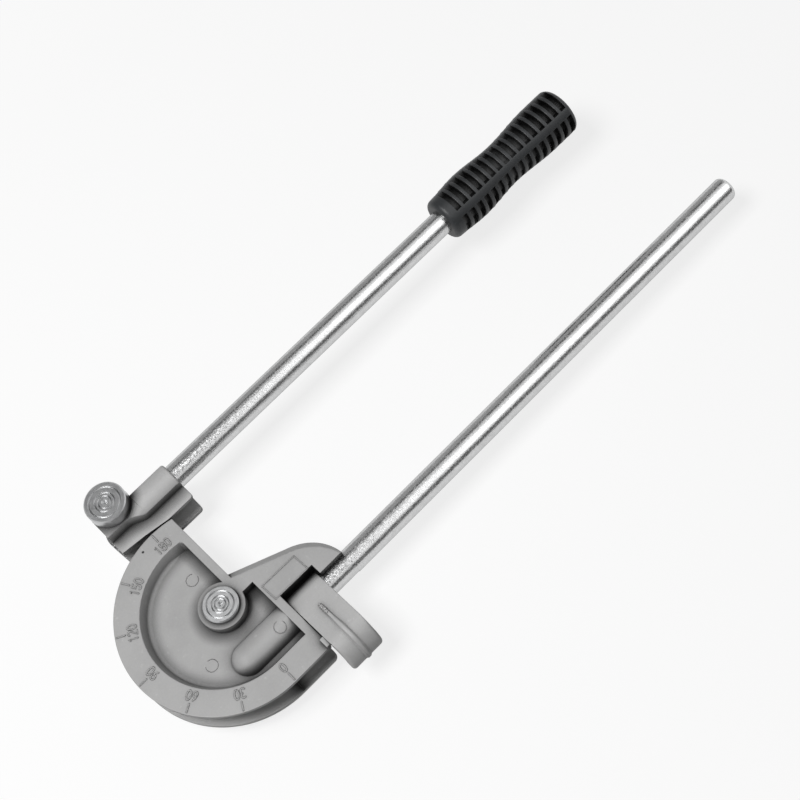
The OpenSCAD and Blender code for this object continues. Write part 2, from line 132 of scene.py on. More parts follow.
class Finish(Tree):
    """A material: its nodes, and the shader that they end in."""

    def __init__(self, name):
        self.material = bpy.data.materials.new(name)
        self.material.use_nodes = True
        self.material.node_tree.nodes.clear()
        super().__init__(self.material.node_tree)
        self.place = self.add("ShaderNodeTexCoord", out="Object")

    def noise(self, scale, detail=2.0, roughness=0.5, place=None):
        return self.add("ShaderNodeTexNoise", {}, {
            "Vector": place or self.place, "Scale": scale, "Detail": detail, "Roughness": roughness,
        })

    def stretched(self, along_x, turn):
        return self.add("ShaderNodeMapping", {"vector_type": "TEXTURE"}, {
            "Vector": self.place, "Scale": (along_x, 1, 1), "Rotation": (0, 0, turn),
        })

    def mixed(self, share, first, second):
        return self.add("ShaderNodeMix", {"data_type": "RGBA"}, {
            MIX_SHARE: share, MIX_FIRST: first, MIX_SECOND: second,
        }, MIX_RESULT)

    def coordinate(self, axis):
        return self.add("ShaderNodeSeparateXYZ", {}, {0: self.place}, axis)

    def radius_from(self, centre):
        x = self.coordinate("X") - centre[0]
        y = self.coordinate("Y") - centre[1]
        return (x * x + y * y) ** 0.5

    def edges(self, radius, gain):
        """1 along edges that stand out, 0 on open faces."""
        eased_normal = self.add("ShaderNodeBevel", {"samples": 4}, {"Radius": radius})
        plain_normal = self.add("ShaderNodeNewGeometry", out="Normal")
        facing = self.add("ShaderNodeVectorMath", {"operation": "DOT_PRODUCT"}, {
            0: eased_normal, 1: plain_normal,
        }, "Value")
        return ((1 - facing) * gain).held()

    def openness(self, reach):
        """1 on open faces, less in corners and pockets, where the finishes paint shade."""
        return self.add("ShaderNodeAmbientOcclusion", {"samples": 8}, {"Distance": reach}, "AO")

    def rough_skin(self, height, strength, depth, edge=0.0):
        """The surface's relief, over edges eased by the given radius."""
        sockets = {"Height": height, "Strength": strength, "Distance": depth}
        if edge:
            sockets["Normal"] = self.add("ShaderNodeBevel", {"samples": 8}, {"Radius": edge})
        return self.add("ShaderNodeBump", {}, sockets)

    def close(self, **sockets):
        names = {k.replace("_", " "): v for k, v in sockets.items()}
        shader = self.add("ShaderNodeBsdfPrincipled", {}, names)
        self.add("ShaderNodeOutputMaterial", {}, {"Surface": shader})
        return self.material


def grey(level, warm=0.0):
    """A grey that is warmer than neutral by a share, or colder where the share is negative."""
    return level * (1 + warm), level, level * (1 - warm), 1.0


# Finishes
def cast_alloy(name, level, pits=()):
    """Granular die-cast alloy with nicks, worn edges, painted shade in corners and pockets, and pits given as
    x, y and radius, painted dark as their shade.
    """
    f = Finish(name)
    flow = f.noise(38, detail=4, roughness=0.6)
    grain = f.noise(1100)
    fine = f.noise(3600, detail=1)
    tone = ((0.55 * flow + 0.3 * grain + 0.15 * fine - 0.5) * 1.6 + 0.5).held()
    colour = f.mixed(tone, grey(0.34 * level, 0.004), grey(0.47 * level, 0.004))
    nicks = ((f.noise(330, detail=3, roughness=0.65) - 0.64) * 9).held()
    colour = f.mixed(nicks * 0.35, colour, grey(0.62 * level, 0.002))
    worn = f.edges(radius=0.7 * MM, gain=2.2) * (0.35 + 0.65 * f.noise(260))
    colour = f.mixed(worn * 0.55, colour, grey(0.62, 0.002))
    # Painted shade: corners and pockets darkened towards near black by ambient occlusion over 8 mm.
    colour = f.mixed(f.openness(8 * MM) ** 3.0, grey(0.015), colour)
    relief = 0.55 * grain + 0.45 * fine
    for x, y, radius in pits:
        ragged = 0.35 * (f.noise(1500, detail=1) - 0.5)
        near = f.radius_from((x * MM, y * MM)) / (radius * MM) + ragged
        pit = (1.6 - 1.6 * near).held() * f.coordinate("Z").above(FACE - 1.0 * MM)
        # Painted shade: each pit's floor painted near black, over its sunk bump.
        colour = f.mixed(pit, colour, grey(0.012))
        relief = relief - 6 * pit
    return f.close(
        Base_Color=colour, Metallic=0.2, Roughness=0.56 + 0.16 * grain,
        Specular_IOR_Level=0.05, Specular_Tint=grey(0.3),
        Normal=f.rough_skin(relief, strength=0.32, depth=0.06 * MM, edge=0.9 * MM),
    )


def zinc_plate(name, level=0.64, turn=0.0, speckle=0.5):
    """Bright zinc over drawn bar or strip that lies turned from X, speckled where the crystals show."""
    f = Finish(name)
    drawn = f.noise(1400, detail=3, roughness=0.6, place=f.stretched(9, turn))
    specks = f.noise(1250, roughness=0.7)
    blotch = f.noise(260)
    colour = f.mixed(0.6 * specks + 0.4 * blotch, grey(level * 0.6), grey(level * 1.3, -0.004))
    matt = ((f.noise(1050, roughness=0.6) - 0.44) * 5).held()
    return f.close(
        Base_Color=colour, Metallic=1.0, Roughness=0.12 + 0.18 * matt + 0.06 * blotch,
        Specular_Tint=grey(0.7),
        Normal=f.rough_skin(0.75 * specks + 0.25 * drawn, strength=speckle, depth=0.17 * MM),
    )


def turned(name, centre, colour):
    """Turned steel, with fine rings round a centre, painted shade in its hollows and painted highlights on
    its edges.
    """
    f = Finish(name)
    tool_feed = 0.4 * MM
    lines = (f.radius_from(centre) * (2 * math.pi / tool_feed) + 0.4 * f.noise(900)).wave()
    cloud = f.noise(320, detail=3)
    tone = f.mixed(cloud, tuple(c * 0.8 for c in colour[:3]) + (1.0,), colour)
    # Painted shade: the rings' grooves and other hollows darkened by ambient occlusion over 1.5 mm.
    tone = f.mixed(f.openness(1.5 * MM), grey(0.1), tone)
    # Painted highlight: edges of the turned rings lightened towards pale grey.
    painted_highlight_tone = f.mixed(f.edges(radius=0.4 * MM, gain=2.0) * 0.6, tone, grey(0.85))
    return f.close(
        Base_Color=painted_highlight_tone, Metallic=1.0, Roughness=0.25 + 0.1 * cloud,
        Normal=f.rough_skin(0.5 + 0.4 * lines + 0.1 * cloud, strength=0.1, depth=0.02 * MM),
    )


def blackened(name):
    f = Finish(name)
    cloud = f.noise(700, detail=3)
    colour = f.mixed(cloud, grey(0.028), grey(0.07, -0.03))
    colour = f.mixed(f.edges(radius=0.3 * MM, gain=2.0) * 0.7, colour, grey(0.3))
    return f.close(
        Base_Color=colour, Metallic=0.9, Roughness=0.34 + 0.18 * cloud,
        Normal=f.rough_skin(cloud, strength=0.2, depth=0.03 * MM),
    )


def sintered_bronze(name):
    f = Finish(name)
    pores = f.noise(2600)
    cloud = f.noise(400, detail=3)
    colour = f.mixed(cloud, (0.36, 0.23, 0.10, 1), (0.52, 0.36, 0.17, 1))
    colour = f.mixed(pores.above(0.64), colour, (0.10, 0.06, 0.03, 1))
    return f.close(
        Base_Color=colour, Metallic=0.9, Roughness=0.38 + 0.2 * pores,
        Normal=f.rough_skin(pores, strength=0.4, depth=0.05 * MM),
    )


def moulded_rubber(name):
    f = Finish(name)
    grain = f.noise(1900)
    cloud = f.noise(120, detail=3)
    colour = f.mixed(cloud, grey(0.016, -0.09), grey(0.028, -0.09))
    # Painted highlight: edges of the ribs and rails lightened to a grey.
    colour = f.mixed(f.edges(radius=0.5 * MM, gain=1.6) * 0.8, colour, grey(0.07, -0.04))
    # Painted shade: the slots and other hollows darkened to black by ambient occlusion over 6 mm.
    colour = f.mixed(f.openness(6 * MM) ** 6, grey(0.0005), colour)
    return f.close(
        Base_Color=colour, Specular_IOR_Level=0.45, Roughness=0.38 + 0.14 * grain,
        Normal=f.rough_skin(grain, strength=0.3, depth=0.05 * MM),
    )


PIN_COLOUR, WASHER_COLOUR = (0.53, 0.535, 0.54, 1.0), (0.6, 0.6, 0.595, 1.0)
CASTING = cast_alloy("former_casting", level=0.97, pits=[(-9.2, 53.0, 0.95)])
LOOSE_CASTING = cast_alloy("lever_and_hook_casting", level=1.13)
FLASH = cast_alloy("broken_flash", level=1.5)
ROD_PLATE = zinc_plate("zinc_plated_rod")
LINK_PLATE = zinc_plate("zinc_plated_link", level=0.55, turn=math.radians(94), speckle=0.3)
RUBBER = moulded_rubber("moulded_rubber")
BLACK_STEEL = blackened("blackened_spring_steel")
BRONZE = sintered_bronze("sintered_bronze")

NODE_FINISH = {
    "former": CASTING, "hook": LOOSE_CASTING, "lever_block": LOOSE_CASTING,
    "fixed_rod": ROD_PLATE, "lever_rod": ROD_PLATE, "link": LINK_PLATE, "grip": RUBBER,
    "fixed_rod_pin": BLACK_STEEL, "lever_rod_pin": BLACK_STEEL,
    "pivot_circlip": BLACK_STEEL, "lever_circlip": BLACK_STEEL,
    "pivot_bush": BRONZE, "lever_bush": BRONZE,
    "pivot_pin": turned("turned_pivot_pin", pin_centre("pivot_pin"), PIN_COLOUR),
    "lever_pin": turned("turned_lever_pin", pin_centre("lever_pin"), PIN_COLOUR),
}
for pivot in ("pivot", "lever"):
    washer = turned("zinc_washer_" + pivot, pin_centre(pivot + "_pin"), WASHER_COLOUR)
    NODE_FINISH[pivot + "_thrust_washer"] = washer
    NODE_FINISH[pivot + "_rear_washer"] = washer
for node, finish in NODE_FINISH.items():
    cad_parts[node].material_slots[0].material = finish


# Pieces and their meshes
def piece(name, mesh, body, slot, *replaced):
    made = bpy.data.objects.new(name, mesh)
    bpy.context.scene.collection.objects.link(made)
    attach(made, body)
    if replaced:
        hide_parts(*replaced)


def mesh_of(name, verts, edges=(), faces=(), finish=None):
    mesh = bpy.data.meshes.new(name)
    mesh.from_pydata([tuple(v) for v in verts], edges, faces)
    if finish:
        mesh.materials.append(finish)
    return mesh


def shaded(mesh, sharp):
    """The mesh shown smooth, apart from edges that bend by more than an angle."""
    mesh.shade_smooth()
    mesh.set_sharp_from_angle(angle=math.radians(sharp))
    return mesh


def faced_outwards(mesh, sharp, weld=0.0):
    """The mesh, shaded, with all faces turned outwards; vertices within the weld's distance are joined."""
    work = bmesh.new()
    work.from_mesh(mesh)
    if weld:
        bmesh.ops.remove_doubles(work, verts=work.verts, dist=weld)
    bmesh.ops.recalc_face_normals(work, faces=work.faces)
    work.to_mesh(mesh)
    work.free()
    return shaded(mesh, sharp)


def closed_mesh(name, verts, faces, finish, sharp):
    """A mesh of vertices given in millimetres."""
    return faced_outwards(mesh_of(name, [Vector(v) * MM for v in verts], (), faces, finish), sharp)


def band_faces(count, rings):
    """Faces between neighbouring rings, each of the same number of vertices."""
    return [
        (k * count + i, k * count + (i + 1) % count, (k + 1) * count + (i + 1) % count, (k + 1) * count + i)
        for k in range(rings - 1) for i in range(count)
    ]


def lofted(name, rings, finish, sharp):
    """A closed mesh through rings of vertices, with a face over each end."""
    count, last = len(rings[0]), len(rings) - 1
    ends = [tuple(range(count)), tuple(last * count + i for i in range(count))]
    verts = [vert for ring in rings for vert in ring]
    return closed_mesh(name, verts, band_faces(count, len(rings)) + ends, finish, sharp)


def base_object(name, mesh):
    """An object that only carries modifiers, until it is evaluated."""
    base = bpy.data.objects.new(name + "_base", mesh)
    bpy.context.scene.collection.objects.link(base)
    return base


def evaluated(name, base):
    """The plain mesh that the base object's modifiers make; the base itself goes."""
    bpy.context.view_layer.update()
    result = bpy.data.meshes.new_from_object(base.evaluated_get(bpy.context.evaluated_depsgraph_get()))
    result.name = name
    bpy.data.objects.remove(base)
    return result


def grown(name, mesh, tree, inputs):
    """The plain mesh that a node tree makes from a base mesh."""
    base = base_object(name, mesh)
    step = base.modifiers.new("grow", "NODES")
    step.node_group = tree
    named = {s.name: s.identifier for s in tree.interface.items_tree if s.in_out == "INPUT"}
    for key, value in inputs.items():
        step[named[key]] = value
    return evaluated(name, base)


def growing_tree(name, inputs):
    """A geometry tree with named inputs, and the values of those inputs."""
    group = bpy.data.node_groups.new(name, "GeometryNodeTree")
    group.interface.new_socket("Geometry", in_out="INPUT", socket_type="NodeSocketGeometry")
    group.interface.new_socket("Geometry", in_out="OUTPUT", socket_type="NodeSocketGeometry")
    for key, kind in inputs:
        group.interface.new_socket(key, in_out="INPUT", socket_type=kind)
    tree = Tree(group)
    entry = group.nodes.new("NodeGroupInput")
    return tree, {s.name: Value(tree, s) for s in entry.outputs if s.name}


def smooth(share):
    """A share held between 0 and 1, with a gentle start and end."""
    share = min(max(share, 0.0), 1.0)
    return share * share * (3 - 2 * share)


def ramp(run, start, length):
    """0 up to a start, 1 from a length beyond it."""
    return smooth((run - start) / length)


# The former's pocket and socket, as in the solid: end wall, rim's inner radius, slope's run, depth
POCKET_WALL_X, POCKET_R, POCKET_SLOPE, POCKET_H = 8.6, 43.2, 3.0, 6.5
SOCKET_R = 9.9

# Raised marks on the former: beads of a radius, flattened, sunk to half their height
SCALE_STEP, SCALE_END, ZERO_TURN = 30, 180, 270
NUMERAL_R, NUMERAL_PITCH, NUMERAL_W, NUMERAL_H = 47.4, 3.25, 2.75, 2.6
TICK_POINTS = (51.3, 53.9, 56.2)
LABEL_CORNERS = [(21.0, -8.2), (43.0, -8.6), (43.4, -18.8), (21.3, -18.5), (21.0, -8.2)]
# Place, radius and first angle of each ejector mark, which is an open ring
EJECTORS = ((-1.4, 24.8, 3.3, 0.9), (-24.1, -16.9, 3.3, 2.6), (13.0, -30.5, 3.1, 1.4))
EJECTOR_POINTS, POINTS_PER_TURN = 41, 48
SAME_PLACE = 1e-7


def bead_tree():
    """A low round bead along every edge of the base."""
    tree, given = growing_tree("raised_bead", [
        ("Bead Radius", "NodeSocketFloat"), ("Flatness", "NodeSocketFloat"), ("Finish", "NodeSocketMaterial"),
    ])
    path = tree.add("GeometryNodeMeshToCurve", {}, {"Mesh": given["Geometry"]})
    path = tree.add("GeometryNodeSetCurveNormal", {"mode": "Z_UP"}, {"Curve": path})
    ring = tree.add("GeometryNodeCurvePrimitiveCircle", {}, {
        "Resolution": 10, "Radius": given["Bead Radius"],
    })
    flat = tree.add("ShaderNodeCombineXYZ", {}, {"X": 1.0, "Y": given["Flatness"], "Z": 1.0})
    ring = tree.add("GeometryNodeTransform", {}, {"Geometry": ring, "Scale": flat})
    bead = tree.add("GeometryNodeCurveToMesh", {}, {"Curve": path, "Profile Curve": ring, "Fill Caps": True})
    bead = tree.add("GeometryNodeSetShadeSmooth", {}, {"Geometry": bead})
    bead = tree.add("GeometryNodeRealizeInstances", {}, {"Geometry": bead})
    bead = tree.add("GeometryNodeSetMaterial", {}, {"Geometry": bead, "Material": given["Finish"]})
    tree.add("NodeGroupOutput", {}, {"Geometry": bead})
    return tree.tree


def arc(cx, cy, rx, ry, start, end, steps):
    return [
        (cx + rx * math.cos(math.radians(start + (end - start) * i / steps)),
         cy + ry * math.sin(math.radians(start + (end - start) * i / steps)))
        for i in range(steps + 1)
    ]


# Strokes of each digit in a cell one wide and two high, middle at 0, 0
DIGITS = {
    "0": [arc(0, 0, 0.42, 0.95, 90, 450, 24)],
    "1": [[(-0.25, 0.62), (0.05, 0.95), (0.05, -0.95)]],
    "2": [arc(0, 0.5, 0.42, 0.45, 165, -35, 12) + [(-0.42, -0.95), (0.46, -0.95)]],
    "3": [arc(-0.02, 0.48, 0.42, 0.47, 150, -75, 12) + arc(-0.02, -0.46, 0.45, 0.5, 75, -150, 12)],
    "5": [[(0.38, 0.95), (-0.32, 0.95), (-0.38, 0.1)] + arc(-0.02, -0.35, 0.44, 0.6, 120, -150, 14)],
    "6": [[(0.22, 0.95), (-0.16, 0.45), (-0.38, -0.2)] + arc(0, -0.42, 0.42, 0.53, 160, 520, 20)],
    "8": [arc(0, 0.48, 0.36, 0.46, -90, 270, 18), arc(0, -0.47, 0.43, 0.48, 90, 450, 18)],
    "9": [[(-0.22, -0.95), (0.16, -0.45), (0.38, 0.2)] + arc(0, 0.42, 0.42, 0.53, -20, 340, 20)],
}


def path_mesh(name, paths):
    """A mesh of loose edges along the paths; a path that ends where it starts is closed."""
    verts, edges = [], []
    for path in paths:
        closed = (Vector(path[0]) - Vector(path[-1])).length < SAME_PLACE
        points = path[:-1] if closed else path
        first = len(verts)
        verts += points
        edges += [(first + i, first + i + 1) for i in range(len(points) - 1)]
        if closed:
            edges.append((first + len(points) - 1, first))
    return mesh_of(name, verts, edges)


def scale_paths():
    """Degree numbers round the rim, their tops outwards, each with its tick at the edge."""
    on_face = Vector((0, 0, FACE))
    paths = []
    for degrees in range(0, SCALE_END + 1, SCALE_STEP):
        turn = math.radians(ZERO_TURN - degrees)
        out = Vector((math.cos(turn), math.sin(turn), 0))
        along = Vector((out.y, -out.x, 0))
        text = str(degrees)
        for place, digit in enumerate(text):
            middle = out * NUMERAL_R + along * (place - (len(text) - 1) / 2) * NUMERAL_PITCH
            for stroke in DIGITS[digit]:
                paths.append([
                    (middle + along * x * NUMERAL_W + out * y * NUMERAL_H) * MM + on_face for x, y in stroke
                ])
        paths.append([out * r * MM + on_face for r in TICK_POINTS])
    return paths


def ejector_paths():
    """Marks that the ejector pins of the die left: two on the web and one on the rod's socket."""
    web = FACE - POCKET_H * MM
    socket = SOCKET_R * MM
    paths = []
    for x, y, radius, start in EJECTORS:
        ring = []
        for i in range(EJECTOR_POINTS):
            turn = start + 2 * math.pi * i / POINTS_PER_TURN
            px, py = (x + radius * math.cos(turn)) * MM, (y + radius * math.sin(turn)) * MM
            across = py - ROD_Y
            on_socket = x > 0 and abs(across) < socket
            ring.append(Vector((px, py, MIDDLE + math.sqrt(socket ** 2 - across ** 2) if on_socket else web)))
        paths.append(ring)
    return paths


BEAD = bead_tree()
label_path = [Vector((x * MM, y * MM, FACE)) for x, y in LABEL_CORNERS]
for name, paths, radius, flatness in (
    ("scale_marks", scale_paths(), 0.42, 0.6),
    ("label_frame", [label_path], 0.42, 0.6),
    ("ejector_marks", ejector_paths(), 0.22, 0.35),
):
    mesh = grown(name, path_mesh(name, paths), BEAD, {
        "Bead Radius": radius * MM, "Flatness": flatness, "Finish": CASTING,
    })
    piece(name, mesh, "former", "casting")


# Cast radii in the pocket: its upper corner, and the foot of the sloped wall
CORNER_R, CORNER_SUNK, CORNER_LEVELS = 2.5, 0.3, 6
BELOW_FACE, INTO_WEB = 0.02, 0.2
FILLET_REACH, FILLET_FROM, FILLET_TO, FILLET_STEPS = 1.7, 83, 262, 120
FADE_IN, FADE_OUT, LEAST_SHARE = 12, 18, 0.03
# How far the fillet's borders run on inside the solid, and how far its back and bed lie in it
HIDDEN, UNDER, BACK, BED = 1.4, 0.1, 2.5, 1.2
ARC_STEPS = 10


def pocket_corner():
    """The rounding between the sloped wall and the end wall."""
    rings = []
    for level in range(CORNER_LEVELS + 1):
        share = level / CORNER_LEVELS
        wall = POCKET_R - POCKET_SLOPE * (1 - share)
        z = FACE / MM - POCKET_H * (1 - share)
        z -= {0: INTO_WEB, CORNER_LEVELS: BELOW_FACE}.get(level, 0)
        cx = POCKET_WALL_X - CORNER_R
        cy = math.sqrt((wall - CORNER_R) ** 2 - cx ** 2)
        end = math.atan2(cy, cx)
        turns = [end * i / ARC_STEPS for i in range(ARC_STEPS + 1)]
        ring = [(cx + CORNER_R * math.cos(turn), cy + CORNER_R * math.sin(turn), z) for turn in turns]
        x, y, z = ring[-1]
        ring.append((x + CORNER_SUNK * math.cos(end), y + CORNER_SUNK * math.sin(end), z))
        top = math.sqrt((wall + CORNER_SUNK) ** 2 - (POCKET_WALL_X + CORNER_SUNK) ** 2)
        ring.append((POCKET_WALL_X + CORNER_SUNK, top, z))
        ring.append((POCKET_WALL_X + CORNER_SUNK, cy, z))
        rings.append(ring)
    return lofted("pocket_corner", rings, CASTING, sharp=40)


def pocket_fillet():
    """The fillet along the foot of the sloped wall, thinning out at both ends."""
    foot, web = POCKET_R - POCKET_SLOPE, FACE / MM - POCKET_H
    slope = math.atan2(POCKET_H, POCKET_SLOPE)
    rings = []
    for k in range(FILLET_STEPS + 1):
        degrees = FILLET_FROM + (FILLET_TO - FILLET_FROM) * k / FILLET_STEPS
        share = ramp(degrees, FILLET_FROM, FADE_IN) * ramp(FILLET_TO - degrees, 0, FADE_OUT)
        reach = FILLET_REACH * max(share, LEAST_SHARE)
        radius = reach * math.tan((math.pi - slope) / 2)
        leans = [slope * i / ARC_STEPS for i in range(ARC_STEPS + 1)]
        profile = [(foot - reach + radius * math.sin(lean), radius * (1 - math.cos(lean))) for lean in leans]
        top_r, top_z = profile[-1]
        profile.insert(0, (foot - reach - HIDDEN, -UNDER))
        profile.append((top_r + HIDDEN * math.cos(slope) + UNDER, top_z + HIDDEN * math.sin(slope)))
        profile += [(foot + BACK, -BED), (foot - reach - HIDDEN, -BED)]
        turn = math.radians(degrees)
        rings.append([(r * math.cos(turn), r * math.sin(turn), web + z) for r, z in profile])
    return lofted("pocket_fillet", rings, CASTING, sharp=60)


piece("pocket_corner", pocket_corner(), "former", "casting")
piece("pocket_fillet", pocket_fillet(), "former", "casting")


# The hook, as in the solid: tube's axis, rib, sides, and the radii of its barrel and curl
TUBE_Y, RIB_H, RIB_END = -57.0, 0.7, 209
HOOK_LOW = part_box("hook")[0]
HOOK_SIDES = (24.3, 44.7)
HOOK_X = sum(HOOK_SIDES) / 2
HOOK_R, CURL_R = 8.85, TUBE_Y - RIB_H - HOOK_LOW.y / MM
RISE = math.asin((CURL_R - HOOK_R) / (ROD_Y / MM - TUBE_Y))
LINE_L = (ROD_Y / MM - TUBE_Y) * math.cos(RISE)
CURL_L = CURL_R * (math.radians(RIB_END) - math.pi / 2 + RISE)

# Rounding of the curl's side edges: largest radius, and the degrees round the tube over which it grows
ROUND_R, ROUND_FROM, ROUND_OVER = 1.9, 95, 40
# Its segments, and how near to a side and to the curl's outer face an edge has to lie
ROUND_SEGMENTS, AT_SIDE, AT_CURL = 5, 0.01, 0.15

# Ridge of flash on the parting line, by the run from the barrel's crown; SWELL_TO counts from the line's end
RIDGE_FROM, RIDGE_RISE, RIDGE_STEPS, RIDGE_SUNK = 10.2, 1.4, 90, 2.5
SWELL_H, SWELL_FROM, SWELL_OVER, SWELL_TO, SWELL_FADE = 0.35, 19, 8, 6, 9
HALF_W, FLAT_HALF_W, WIDER, WIDE_FROM, WIDE_OVER, NARROWER, NARROW_OVER = 1.25, 0.5, 0.95, 17, 12, 0.7, 4
OVER_RIB, EDGE_SUNK = 0.04, 0.05
RIDGE_ACROSS = [i / 10 for i in range(-10, 11)]

# Lumps of flash where the ridge starts: run, offset across, half length, half width and height
SPECKS = (
    (10.9, 0.0, 0.55, 0.85, 1.0), (13.3, -0.3, 0.6, 0.85, 1.2),
    (15.2, 0.3, 0.7, 1.0, 1.25), (17.2, -0.2, 0.5, 0.8, 1.15),
)
SPECK_RINGS, SPECK_SIDES, SPECK_LEAN = 5, 12, 0.62


def on_hook(run):
    """The place on the hook's outer face at a run from the barrel's crown, and the way out of it there."""
    turn = math.pi / 2 - RISE + max(run - LINE_L, 0) / CURL_R
    out = Vector((0, math.cos(turn), math.sin(turn)))
    place = Vector((HOOK_X, TUBE_Y, MIDDLE / MM)) + out * CURL_R
    if run < LINE_L:
        place += Vector((0, math.cos(RISE), -math.sin(RISE))) * (LINE_L - run)
    return place, out


def hook_ridge():
    """The ridge over the solid's rib, which grows round the curl."""
    last = LINE_L + CURL_L
    rings = []
    for k in range(RIDGE_STEPS + 1):
        run = RIDGE_FROM + (last - RIDGE_FROM) * k / RIDGE_STEPS
        place, out = on_hook(run)
        begun = ramp(run, RIDGE_FROM, RIDGE_RISE)
        swell = SWELL_H * ramp(run, SWELL_FROM, SWELL_OVER) * (1 - ramp(run - LINE_L, SWELL_TO, SWELL_FADE))
        half = HALF_W + WIDER * ramp(run, WIDE_FROM, WIDE_OVER)
        half -= NARROWER * ramp(run - last, -NARROW_OVER, NARROW_OVER)
        ring = []
        for share in RIDGE_ACROSS:
            side = 1 - ramp(abs(share) * half, FLAT_HALF_W, half - FLAT_HALF_W)
            height = (RIB_H + swell + OVER_RIB) * begun * side - EDGE_SUNK
            ring.append(place + out * height + Vector((share * half, 0, 0)))
        ring.append(place - out * RIDGE_SUNK + Vector((half, 0, 0)))
        ring.append(place - out * RIDGE_SUNK - Vector((half, 0, 0)))
        rings.append(ring)
    return lofted("hook_ridge", rings, LOOSE_CASTING, sharp=50)


def hook_specks():
    """The lumps of flash: caps of rings round a top, each closed below."""
    verts, faces = [], []
    for run, aside, length, width, height in SPECKS:
        place, out = on_hook(run)
        along = Vector((1, 0, 0)).cross(out)
        top = len(verts)
        verts.append(place + out * height + Vector((aside, 0, 0)))
        for ring in range(1, SPECK_RINGS + 1):
            lean = math.pi * SPECK_LEAN * ring / SPECK_RINGS
            for side in range(SPECK_SIDES):
                turn = 2 * math.pi * side / SPECK_SIDES
                wide = Vector((aside + width * math.sin(lean) * math.cos(turn), 0, 0))
                far = along * length * math.sin(lean) * math.sin(turn)
                verts.append(place + wide + far + out * height * math.cos(lean))
        starts = [top + 1 + ring * SPECK_SIDES for ring in range(SPECK_RINGS)]
        for side in range(SPECK_SIDES):
            beside = (side + 1) % SPECK_SIDES
            faces.append((top, top + 1 + side, top + 1 + beside))
            for a, b in zip(starts, starts[1:]):
                faces.append((a + side, b + side, b + beside, a + beside))
        faces.append(tuple(starts[-1] + side for side in range(SPECK_SIDES)))
    return closed_mesh("hook_specks", verts, faces, FLASH, sharp=70)


def round_share(first, second):
    """How much of the rounding an edge between two places gets: side edges only, more towards the tip."""
    middle = (first + second) / 2 - Vector((0, TUBE_Y, MIDDLE / MM))
    lies_across = abs(first.x - second.x) >= AT_SIDE
    if lies_across or min(abs(first.x - side) for side in HOOK_SIDES) >= AT_SIDE:
        return 0.0
    if abs(math.hypot(middle.y, middle.z) - CURL_R) > AT_CURL:
        return 0.0
    return ramp(math.degrees(math.atan2(middle.z, middle.y)) % 360, ROUND_FROM, ROUND_OVER)


def hook_body():
    """A copy of the hook's solid with the side edges of its curl rounded."""
    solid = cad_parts["hook"]
    work = bmesh.new()
    work.from_mesh(solid.data)
    work.transform(solid.matrix_world)
    bmesh.ops.remove_doubles(work, verts=work.verts, dist=0.001 * MM)
    bmesh.ops.dissolve_limit(work, angle_limit=math.radians(0.5), verts=work.verts, edges=work.edges)
    weight = work.edges.layers.float.new("bevel_weight_edge")
    for edge in work.edges:
        edge[weight] = round_share(*(v.co / MM for v in edge.verts))
    mesh = bpy.data.meshes.new("hook_body")
    work.to_mesh(mesh)
    work.free()
    for layer in ("custom_normal", "sharp_edge", "sharp_face"):
        if layer in mesh.attributes:
            mesh.attributes.remove(mesh.attributes[layer])
    mesh.materials.append(LOOSE_CASTING)
    base = base_object("hook_body", mesh)
    step = base.modifiers.new("round", "BEVEL")
    step.limit_method = "WEIGHT"
    step.width, step.segments, step.use_clamp_overlap = ROUND_R * MM, ROUND_SEGMENTS, False
    return shaded(evaluated("hook_body", base), sharp=28)


piece("hook_body", hook_body(), "hook", "casting", "hook")
piece("hook_ridge", hook_ridge(), "hook", "casting")
piece("hook_specks", hook_specks(), "hook", "casting")


# Grip: a lathe-turned body with four rails, and ribs between the slots
GRIP_L = 95.3
COLLAR_R, BELLY_R, WAIST_R, FLARE_R = 12.8, 14.3, 12.5, 14.4
BELLY_AT, WAIST_AT, FLARE_AT = 22, 48, 78
COLLAR_L, TAIL_L, SLOTS, SLOT_W = 5.8, 2.0, 16, 3.2
CORE_R, BORE_R, MOUTH_L = 10.2, 7.0, 6.0
RAILS, RAIL_W, GAP_STEPS = 4, 4.6, 12
COLLAR_ROUND, END_ROUND = 3.0, 4.0
PITCH = (GRIP_L - COLLAR_L - TAIL_L) / SLOTS
# Radius at which widths round the grip are turned into angles
WIDTH_R = 13.0
# Easing of the walls' edges: its reach, its share of the height, the wall's foot and the places of the rows
EASE, EASE_SHARE, WALL_FOOT = 0.45, 0.12, 0.02
NEAR_WALL = (-0.45, -0.3, -0.15, -0.02, 0.0)
RIB_EDGE, RIB_ROOT, RIB_LAP, RIB_UNDER = 0.5, 0.8, 1.0, 0.04
WELD = 1e-4


def eased(a, b, share):
    return a + (b - a) * (1 - math.cos(math.pi * share)) / 2


def skin(x):
    """The grip's outer radius at a distance from its collar's end."""
    if x < BELLY_AT:
        r = eased(COLLAR_R, BELLY_R, x / BELLY_AT)
    elif x < WAIST_AT:
        r = eased(BELLY_R, WAIST_R, (x - BELLY_AT) / (WAIST_AT - BELLY_AT))
    elif x < FLARE_AT:
        r = eased(WAIST_R, FLARE_R, (x - WAIST_AT) / (FLARE_AT - WAIST_AT))
    else:
        r = FLARE_R
    if x < COLLAR_ROUND:
        r -= COLLAR_ROUND - math.sqrt(COLLAR_ROUND ** 2 - (COLLAR_ROUND - x) ** 2)
    if x > GRIP_L - END_ROUND:
        r -= END_ROUND - math.sqrt(max(END_ROUND ** 2 - (x - GRIP_L + END_ROUND) ** 2, 0))
    return r


def shoulder(inside):
    """1 well inside a wall's edge, 0 outside it, rounded over between."""
    if inside <= 0:
        return 0.0
    if inside >= EASE:
        return 1.0
    step = 1 - inside / EASE
    return 1 - EASE_SHARE * (1 - math.sqrt(1 - step * step)) if inside > WALL_FOOT else 0.5


